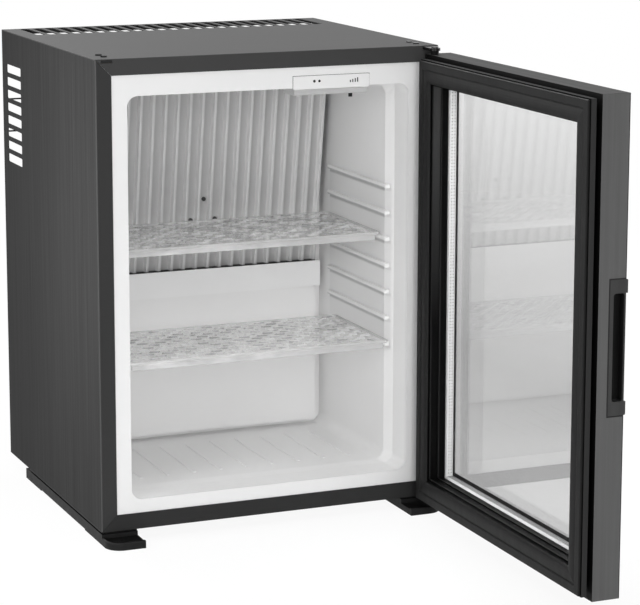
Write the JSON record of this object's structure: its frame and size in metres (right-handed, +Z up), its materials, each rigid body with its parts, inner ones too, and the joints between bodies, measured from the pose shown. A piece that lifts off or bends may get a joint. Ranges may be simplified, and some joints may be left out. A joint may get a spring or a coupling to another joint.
{
  "type": "minibar cabinet",
  "caption": "Hotel minibar: insulated steel cabinet with white liner, clear shelves, finned cold plate and glazed door hung open on pins, silent cooling unit on its back.",
  "frame": {"origin": "on the floor under the middle of the box round the cabinet with its door open at a right angle", "axes": "+X to the right seen from the front, +Y to the back of the cabinet, +Z up"},
  "size_m": [0.4166, 0.77, 0.5352],
  "materials": {
    "casing_sheet": "grained dark grey film on steel sheet, satin",
    "rear_sheet": "black painted sheet, matt",
    "white_liner": "formed white sheet, satin",
    "tray_plastic": "moulded white, satin",
    "foam": "foamed in place, matt",
    "cold_aluminium": "rolled and folded sheet, satin",
    "screw_steel": "zinc plated",
    "unit_tube": "black painted tube, semi gloss",
    "boiler_jacket": "galvanised sheet",
    "mineral_wool": "fibrous, matt",
    "clear_lens": "clear with a frosted face",
    "black_plastic": "moulded, matt",
    "skid_plastic": "moulded, fine texture",
    "hinge_steel": "black coated, semi gloss",
    "plug_plastic": "moulded, matt",
    "electronics_plastic": "moulded, fine texture",
    "door_frame_metal": "grained dark grey film, satin",
    "door_trim_plastic": "extruded, satin",
    "gasket_rubber": "magnetic profile, matt",
    "door_glass": "clear float glass",
    "spacer_aluminium": "perforated bar",
    "handle_plastic": "moulded, satin",
    "clear_shelf": "clear moulding"
  },
  "bodies": {
    "cabinet": {"side_panel_left": "casing_sheet", "side_panel_right": "casing_sheet", "top_panel": "casing_sheet", "bottom_panel": "casing_sheet", "rear_wall": "rear_sheet", "liner": "white_liner", "control_box": "white_liner", "drip_tray": "tray_plastic", "insulation_foam": "foam", "evaporator_plate": "cold_aluminium", "evaporator_block": "cold_aluminium", "evaporator_screws": "screw_steel", "base_rail_screws": "screw_steel", "upper_hinge_pin": "screw_steel", "lower_hinge_pin": "screw_steel", "heater_cartridge": "screw_steel", "evaporator_tube": "unit_tube", "boiler_tube": "unit_tube", "condenser_tube": "unit_tube", "condenser_fins": "unit_tube", "absorber_coil": "unit_tube", "absorber_vessel": "unit_tube", "vessel_brackets": "unit_tube", "boiler_strap": "unit_tube", "boiler_housing": "boiler_jacket", "boiler_wool": "mineral_wool", "lamp_lens": "clear_lens", "status_lamp": "black_plastic", "temperature_sensor": "black_plastic", "cable_gland": "black_plastic", "base_rail_left": "skid_plastic", "base_rail_right": "skid_plastic", "upper_hinge_bracket": "hinge_steel", "hinge_screws": "hinge_steel", "guard_rods": "hinge_steel", "hinge_hole_plugs": "plug_plastic", "electronics_box": "electronics_plastic"},
    "door": {"door_rail_top": "door_frame_metal", "door_rail_bottom": "door_frame_metal", "door_stile_handle": "door_frame_metal", "door_stile_hinge": "door_frame_metal", "inner_trim_top": "door_trim_plastic", "inner_trim_bottom": "door_trim_plastic", "inner_trim_handle_side": "door_trim_plastic", "inner_trim_hinge_side": "door_trim_plastic", "door_gasket": "gasket_rubber", "outer_glass": "door_glass", "inner_glass": "door_glass", "glass_spacer": "spacer_aluminium", "door_handle": "handle_plastic", "upper_hinge_bush": "skid_plastic", "lower_hinge_bush": "skid_plastic"},
    "shelf_upper": {"shelf_upper": "clear_shelf"},
    "shelf_lower": {"shelf_lower": "clear_shelf"},
    "temperature_button": {"temperature_button": "black_plastic"}
  },
  "joints": [
    {"name": "door_hinge", "type": "hinge", "parent": "cabinet", "child": "door", "pos_m": [0.18075, 0.004, 0.27], "axis": [0, 0, 1], "range_deg": [-90, 15]},
    {"name": "upper_shelf_slide", "type": "slide", "parent": "cabinet", "child": "shelf_upper", "axis": [0, -1, 0], "range_m": [0, 0.055]},
    {"name": "lower_shelf_slide", "type": "slide", "parent": "cabinet", "child": "shelf_lower", "axis": [0, -1, 0], "range_m": [0, 0.03]},
    {"name": "button_press", "type": "slide", "parent": "cabinet", "child": "temperature_button", "axis": [0, 1, 0], "range_m": [0, 0.001], "stiffness_N_per_m": 300}
  ]
}
